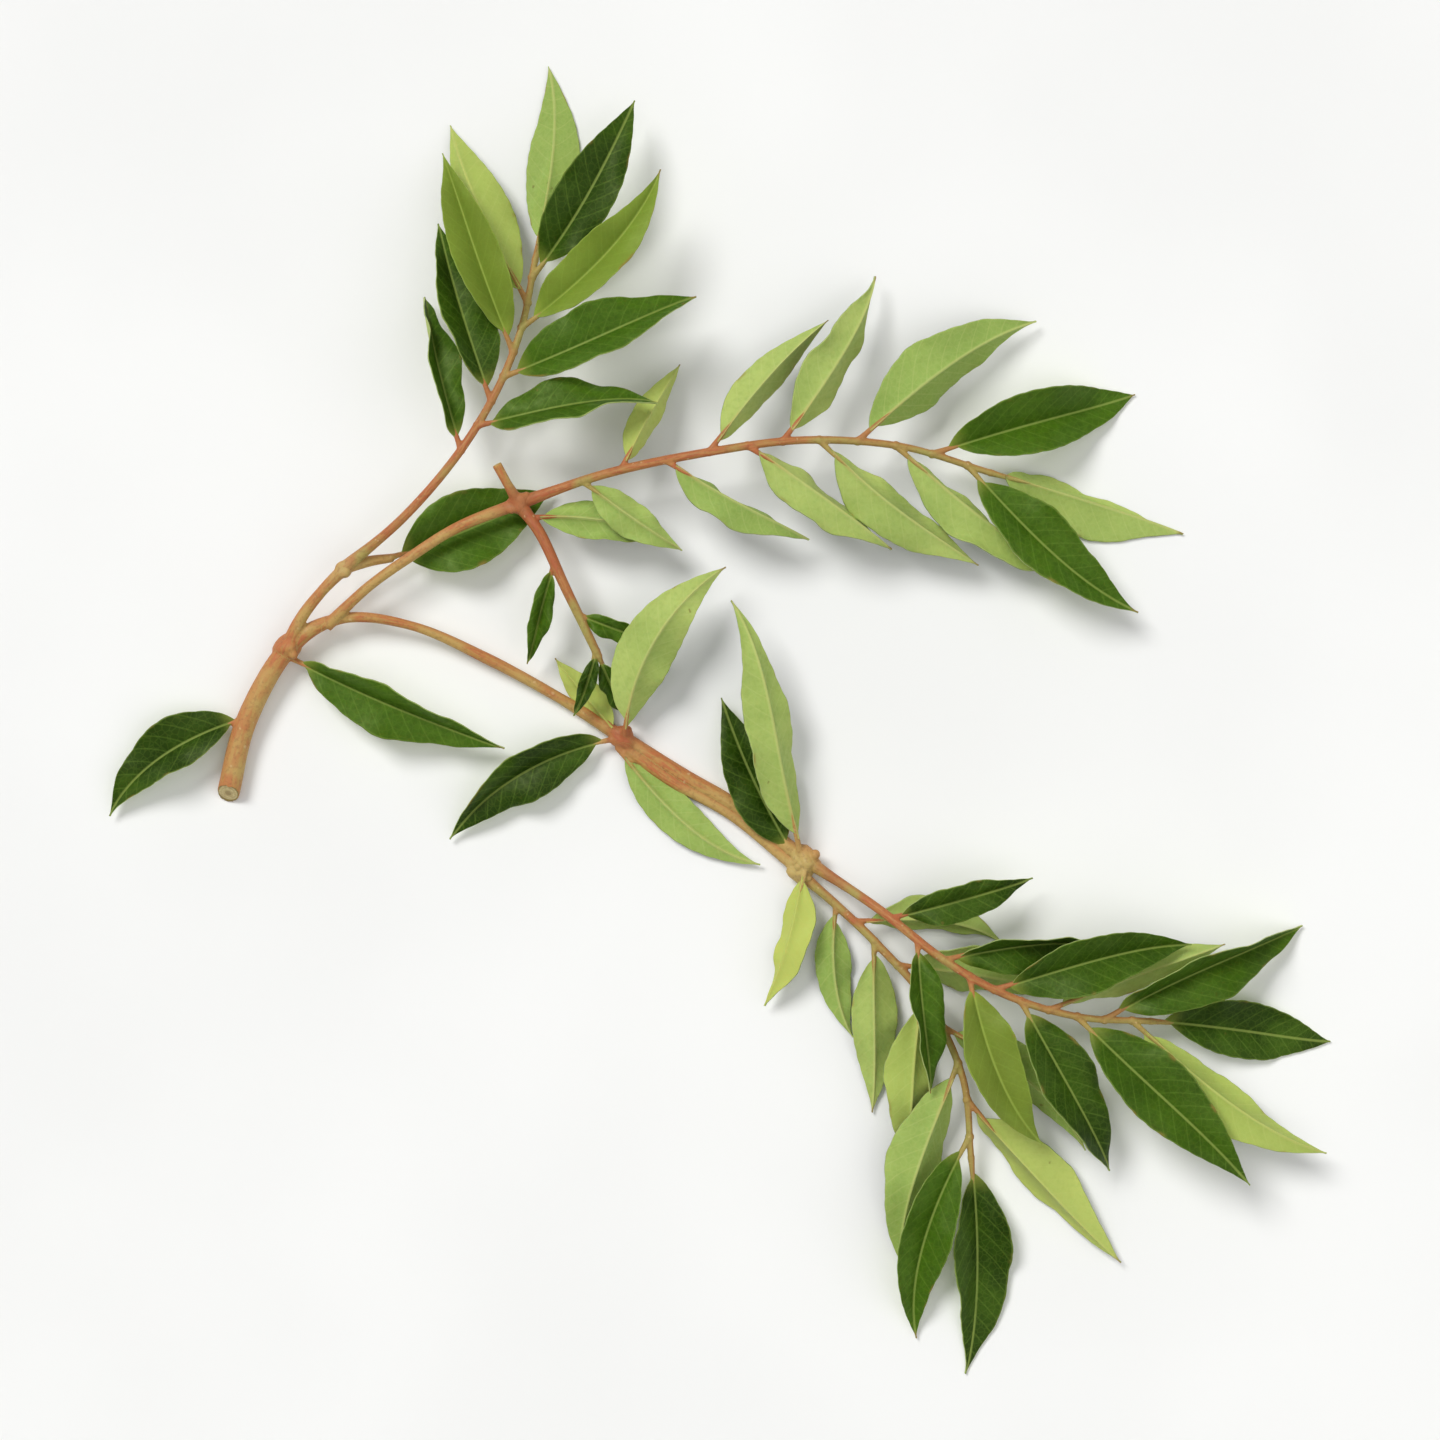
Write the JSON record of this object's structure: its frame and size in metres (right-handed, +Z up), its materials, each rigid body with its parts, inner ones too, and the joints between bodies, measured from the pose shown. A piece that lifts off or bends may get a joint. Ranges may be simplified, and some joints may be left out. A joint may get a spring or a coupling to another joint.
{
  "type": "curry leaf sprig",
  "caption": "Forked reddish twig of curry leaf lying flat, with pinnate fronds of lance-shaped leaflets, some dark side up and some turned to their pale undersides.",
  "frame": {"origin": "the small flat spot under the twig, between its first two nodes, where it rests on the table", "axes": "+Z up from the table, +X from the cut end of the twig towards the tips of the right frond, +Y towards the tip of the upper left frond"},
  "size_m": [0.1393, 0.1488, 0.0127],
  "materials": {
    "twig_bark": "smooth young bark, reddish brown with paler streaks, slightly glossy",
    "leaf_upper": "dark green, smooth and slightly glossy, with a pale rib",
    "leaf_under": "pale yellowish green, matt, with a raised rib"
  },
  "bodies": {
    "root": {"leafy_twig": "twig_bark", "frond_upper_left": "leaf_upper", "frond_top": "leaf_under", "frond_short": "leaf_upper", "frond_right": "leaf_upper", "frond_bottom": "leaf_under"}
  },
  "joints": []
}
